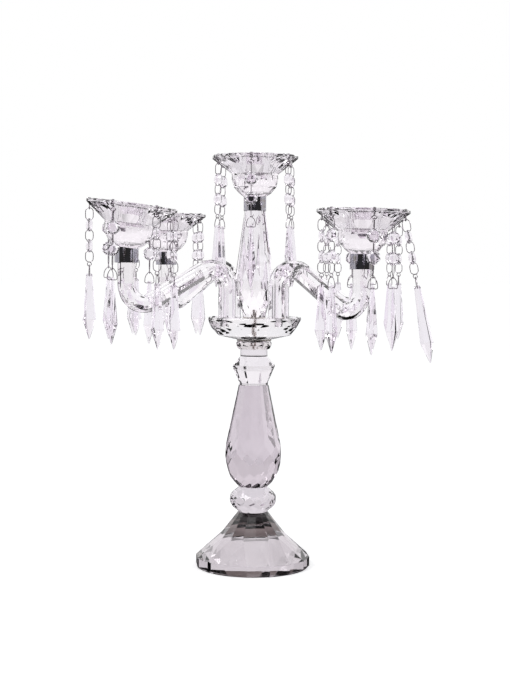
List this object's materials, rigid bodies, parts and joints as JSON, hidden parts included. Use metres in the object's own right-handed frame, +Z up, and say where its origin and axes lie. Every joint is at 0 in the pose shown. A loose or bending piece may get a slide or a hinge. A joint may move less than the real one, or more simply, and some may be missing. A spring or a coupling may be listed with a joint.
{
  "type": "candelabrum",
  "caption": "Cut glass candelabrum: a stacked faceted stem and hub dish carry swan-neck arms, each with a flanged candle cup on a metal collar and a ring of chained pendants.",
  "frame": {"origin": "centre of the foot's flat underside, on the stem's axis", "axes": "+Z up along the stem; the arms stand on the diagonals, arm_1 at -45 degrees from +X, then every 90 degrees anticlockwise"},
  "size_m": [0.3372, 0.3112, 0.4269],
  "materials": {
    "crystal": "clear cut and polished lead glass with a faint lavender-grey tint",
    "pendant_crystal": "clear cut glass beads and spears on fine dull wire",
    "collar_metal": "bright plated metal, slightly aged",
    "wire": "dull grey tarnished wire"
  },
  "bodies": {
    "stand": {"foot": "crystal", "lower_knop": "crystal", "main_baluster": "crystal", "bicone_knop": "crystal", "neck_collar": "crystal", "scalloped_ring": "crystal", "dish_washer": "collar_metal", "hub_dish": "crystal", "hub_stud": "collar_metal", "baluster_washer": "collar_metal", "upper_baluster": "crystal", "centre_collar": "collar_metal", "centre_cup": "crystal", "centre_hooks": "wire"},
    "branch_1": {"arm_1": "crystal", "arm_1_collar": "collar_metal", "arm_1_cup": "crystal", "arm_1_hooks": "wire"},
    "branch_2": {"arm_2": "crystal", "arm_2_collar": "collar_metal", "arm_2_cup": "crystal", "arm_2_hooks": "wire"},
    "branch_3": {"arm_3": "crystal", "arm_3_collar": "collar_metal", "arm_3_cup": "crystal", "arm_3_hooks": "wire"},
    "branch_4": {"arm_4": "crystal", "arm_4_collar": "collar_metal", "arm_4_cup": "crystal", "arm_4_hooks": "wire"},
    "centre_pendant_1": {"centre_pendant_1": "pendant_crystal"},
    "centre_pendant_2": {"centre_pendant_2": "pendant_crystal"},
    "centre_pendant_3": {"centre_pendant_3": "pendant_crystal"},
    "centre_pendant_4": {"centre_pendant_4": "pendant_crystal"},
    "centre_pendant_5": {"centre_pendant_5": "pendant_crystal"},
    "centre_pendant_6": {"centre_pendant_6": "pendant_crystal"},
    "arm_1_pendant_1": {"arm_1_pendant_1": "pendant_crystal"},
    "arm_1_pendant_2": {"arm_1_pendant_2": "pendant_crystal"},
    "arm_1_pendant_3": {"arm_1_pendant_3": "pendant_crystal"},
    "arm_1_pendant_4": {"arm_1_pendant_4": "pendant_crystal"},
    "arm_1_pendant_5": {"arm_1_pendant_5": "pendant_crystal"},
    "arm_1_pendant_6": {"arm_1_pendant_6": "pendant_crystal"},
    "arm_2_pendant_1": {"arm_2_pendant_1": "pendant_crystal"},
    "arm_2_pendant_2": {"arm_2_pendant_2": "pendant_crystal"},
    "arm_2_pendant_3": {"arm_2_pendant_3": "pendant_crystal"},
    "arm_2_pendant_4": {"arm_2_pendant_4": "pendant_crystal"},
    "arm_2_pendant_5": {"arm_2_pendant_5": "pendant_crystal"},
    "arm_2_pendant_6": {"arm_2_pendant_6": "pendant_crystal"},
    "arm_3_pendant_1": {"arm_3_pendant_1": "pendant_crystal"},
    "arm_3_pendant_2": {"arm_3_pendant_2": "pendant_crystal"},
    "arm_3_pendant_3": {"arm_3_pendant_3": "pendant_crystal"},
    "arm_3_pendant_4": {"arm_3_pendant_4": "pendant_crystal"},
    "arm_3_pendant_5": {"arm_3_pendant_5": "pendant_crystal"},
    "arm_3_pendant_6": {"arm_3_pendant_6": "pendant_crystal"},
    "arm_4_pendant_1": {"arm_4_pendant_1": "pendant_crystal"},
    "arm_4_pendant_2": {"arm_4_pendant_2": "pendant_crystal"},
    "arm_4_pendant_3": {"arm_4_pendant_3": "pendant_crystal"},
    "arm_4_pendant_4": {"arm_4_pendant_4": "pendant_crystal"},
    "arm_4_pendant_5": {"arm_4_pendant_5": "pendant_crystal"},
    "arm_4_pendant_6": {"arm_4_pendant_6": "pendant_crystal"}
  },
  "joints": [
    {"name": "arm_1_swivel", "type": "hinge", "parent": "stand", "child": "branch_1", "pos_m": [0.02546, -0.02546, 0.2586], "axis": [0, 0, 1], "range_deg": [-5.6, 2.4]},
    {"name": "arm_2_swivel", "type": "hinge", "parent": "stand", "child": "branch_2", "pos_m": [0.02546, 0.02546, 0.2586], "axis": [0, 0, 1], "range_deg": [-4, 4]},
    {"name": "arm_3_swivel", "type": "hinge", "parent": "stand", "child": "branch_3", "pos_m": [-0.02546, 0.02546, 0.2586], "axis": [0, 0, 1], "range_deg": [-4, 4]},
    {"name": "arm_4_swivel", "type": "hinge", "parent": "stand", "child": "branch_4", "pos_m": [-0.02546, -0.02546, 0.2586], "axis": [0, 0, 1], "range_deg": [-1.5, 6.5]},
    {"name": "centre_pendant_1_swing", "type": "hinge", "parent": "stand", "child": "centre_pendant_1", "pos_m": [0, -0.0411, 0.4158], "axis": [-1, 0, 0], "range_deg": [-4, 25]},
    {"name": "centre_pendant_2_swing", "type": "hinge", "parent": "stand", "child": "centre_pendant_2", "pos_m": [0.03559, -0.02055, 0.4158], "axis": [-0.5, -0.866, 0], "range_deg": [-4, 25]},
    {"name": "centre_pendant_3_swing", "type": "hinge", "parent": "stand", "child": "centre_pendant_3", "pos_m": [0.03559, 0.02055, 0.4158], "axis": [0.5, -0.866, 0], "range_deg": [-4, 25]},
    {"name": "centre_pendant_4_swing", "type": "hinge", "parent": "stand", "child": "centre_pendant_4", "pos_m": [0, 0.0411, 0.4158], "axis": [1, 0, 0], "range_deg": [-4, 25]},
    {"name": "centre_pendant_5_swing", "type": "hinge", "parent": "stand", "child": "centre_pendant_5", "pos_m": [-0.03559, 0.02055, 0.4158], "axis": [0.5, 0.866, 0], "range_deg": [-4, 25]},
    {"name": "centre_pendant_6_swing", "type": "hinge", "parent": "stand", "child": "centre_pendant_6", "pos_m": [-0.03559, -0.02055, 0.4158], "axis": [-0.5, 0.866, 0], "range_deg": [-4, 25]},
    {"name": "arm_1_pendant_1_swing", "type": "hinge", "parent": "branch_1", "child": "arm_1_pendant_1", "pos_m": [0.15307, -0.11848, 0.35552], "axis": [-0.2588, -0.9659, 0], "range_deg": [-15, 14]},
    {"name": "arm_1_pendant_2_swing", "type": "hinge", "parent": "branch_1", "child": "arm_1_pendant_2", "pos_m": [0.14243, -0.07878, 0.35564], "axis": [0.7071, -0.7071, 0], "range_deg": [-4, 25]},
    {"name": "arm_1_pendant_3_swing", "type": "hinge", "parent": "branch_1", "child": "arm_1_pendant_3", "pos_m": [0.10274, -0.06814, 0.35632], "axis": [0.9659, 0.2588, 0], "range_deg": [-4, 25]},
    {"name": "arm_1_pendant_4_swing", "type": "hinge", "parent": "branch_1", "child": "arm_1_pendant_4", "pos_m": [0.07368, -0.0972, 0.35687], "axis": [0.2588, 0.9659, 0], "range_deg": [-4, 25]},
    {"name": "arm_1_pendant_5_swing", "type": "hinge", "parent": "branch_1", "child": "arm_1_pendant_5", "pos_m": [0.08432, -0.1369, 0.35674], "axis": [-0.7071, 0.7071, 0], "range_deg": [-4, 25]},
    {"name": "arm_1_pendant_6_swing", "type": "hinge", "parent": "branch_1", "child": "arm_1_pendant_6", "pos_m": [0.12401, -0.14754, 0.35607], "axis": [-0.9659, -0.2588, 0], "range_deg": [-4, 25]},
    {"name": "arm_2_pendant_1_swing", "type": "hinge", "parent": "branch_2", "child": "arm_2_pendant_1", "pos_m": [0.12095, 0.15001, 0.3572], "axis": [0.9659, -0.2588, 0], "range_deg": [-4, 25]},
    {"name": "arm_2_pendant_2_swing", "type": "hinge", "parent": "branch_2", "child": "arm_2_pendant_2", "pos_m": [0.08125, 0.13937, 0.3572], "axis": [0.7071, 0.7071, 0], "range_deg": [-4, 25]},
    {"name": "arm_2_pendant_3_swing", "type": "hinge", "parent": "branch_2", "child": "arm_2_pendant_3", "pos_m": [0.07061, 0.09967, 0.3572], "axis": [-0.2588, 0.9659, 0], "range_deg": [-4, 25]},
    {"name": "arm_2_pendant_4_swing", "type": "hinge", "parent": "branch_2", "child": "arm_2_pendant_4", "pos_m": [0.09967, 0.07061, 0.3572], "axis": [-0.9659, 0.2588, 0], "range_deg": [-4, 25]},
    {"name": "arm_2_pendant_5_swing", "type": "hinge", "parent": "branch_2", "child": "arm_2_pendant_5", "pos_m": [0.13937, 0.08125, 0.3572], "axis": [-0.7071, -0.7071, 0], "range_deg": [-4, 25]},
    {"name": "arm_2_pendant_6_swing", "type": "hinge", "parent": "branch_2", "child": "arm_2_pendant_6", "pos_m": [0.15001, 0.12095, 0.3572], "axis": [0.2588, -0.9659, 0], "range_deg": [-4, 25]},
    {"name": "arm_3_pendant_1_swing", "type": "hinge", "parent": "branch_3", "child": "arm_3_pendant_1", "pos_m": [-0.15001, 0.12095, 0.3602], "axis": [0.2588, 0.9659, 0], "range_deg": [-4, 25]},
    {"name": "arm_3_pendant_2_swing", "type": "hinge", "parent": "branch_3", "child": "arm_3_pendant_2", "pos_m": [-0.13937, 0.08125, 0.3602], "axis": [-0.7071, 0.7071, 0], "range_deg": [-4, 25]},
    {"name": "arm_3_pendant_3_swing", "type": "hinge", "parent": "branch_3", "child": "arm_3_pendant_3", "pos_m": [-0.09967, 0.07061, 0.3602], "axis": [-0.9659, -0.2588, 0], "range_deg": [-4, 25]},
    {"name": "arm_3_pendant_4_swing", "type": "hinge", "parent": "branch_3", "child": "arm_3_pendant_4", "pos_m": [-0.07061, 0.09967, 0.3602], "axis": [-0.2588, -0.9659, 0], "range_deg": [-4, 25]},
    {"name": "arm_3_pendant_5_swing", "type": "hinge", "parent": "branch_3", "child": "arm_3_pendant_5", "pos_m": [-0.08125, 0.13937, 0.3602], "axis": [0.7071, -0.7071, 0], "range_deg": [-4, 25]},
    {"name": "arm_3_pendant_6_swing", "type": "hinge", "parent": "branch_3", "child": "arm_3_pendant_6", "pos_m": [-0.12095, 0.15001, 0.3602], "axis": [0.9659, 0.2588, 0], "range_deg": [-4, 25]},
    {"name": "arm_4_pendant_1_swing", "type": "hinge", "parent": "branch_4", "child": "arm_4_pendant_1", "pos_m": [-0.11921, -0.14576, 0.36263], "axis": [-0.9659, 0.2588, 0], "range_deg": [-4, 25]},
    {"name": "arm_4_pendant_2_swing", "type": "hinge", "parent": "branch_4", "child": "arm_4_pendant_2", "pos_m": [-0.07983, -0.13515, 0.35756], "axis": [-0.7071, -0.7071, 0], "range_deg": [-4, 25]},
    {"name": "arm_4_pendant_3_swing", "type": "hinge", "parent": "branch_4", "child": "arm_4_pendant_3", "pos_m": [-0.0693, -0.09546, 0.3558], "axis": [0.2588, -0.9659, 0], "range_deg": [-4, 25]},
    {"name": "arm_4_pendant_4_swing", "type": "hinge", "parent": "branch_4", "child": "arm_4_pendant_4", "pos_m": [-0.09816, -0.06638, 0.35911], "axis": [0.9659, -0.2588, 0], "range_deg": [-4, 25]},
    {"name": "arm_4_pendant_5_swing", "type": "hinge", "parent": "branch_4", "child": "arm_4_pendant_5", "pos_m": [-0.13754, -0.07699, 0.36418], "axis": [0.7071, 0.7071, 0], "range_deg": [-4, 25]},
    {"name": "arm_4_pendant_6_swing", "type": "hinge", "parent": "branch_4", "child": "arm_4_pendant_6", "pos_m": [-0.14807, -0.11668, 0.36594], "axis": [-0.2588, 0.9659, 0], "range_deg": [-4, 25]}
  ]
}
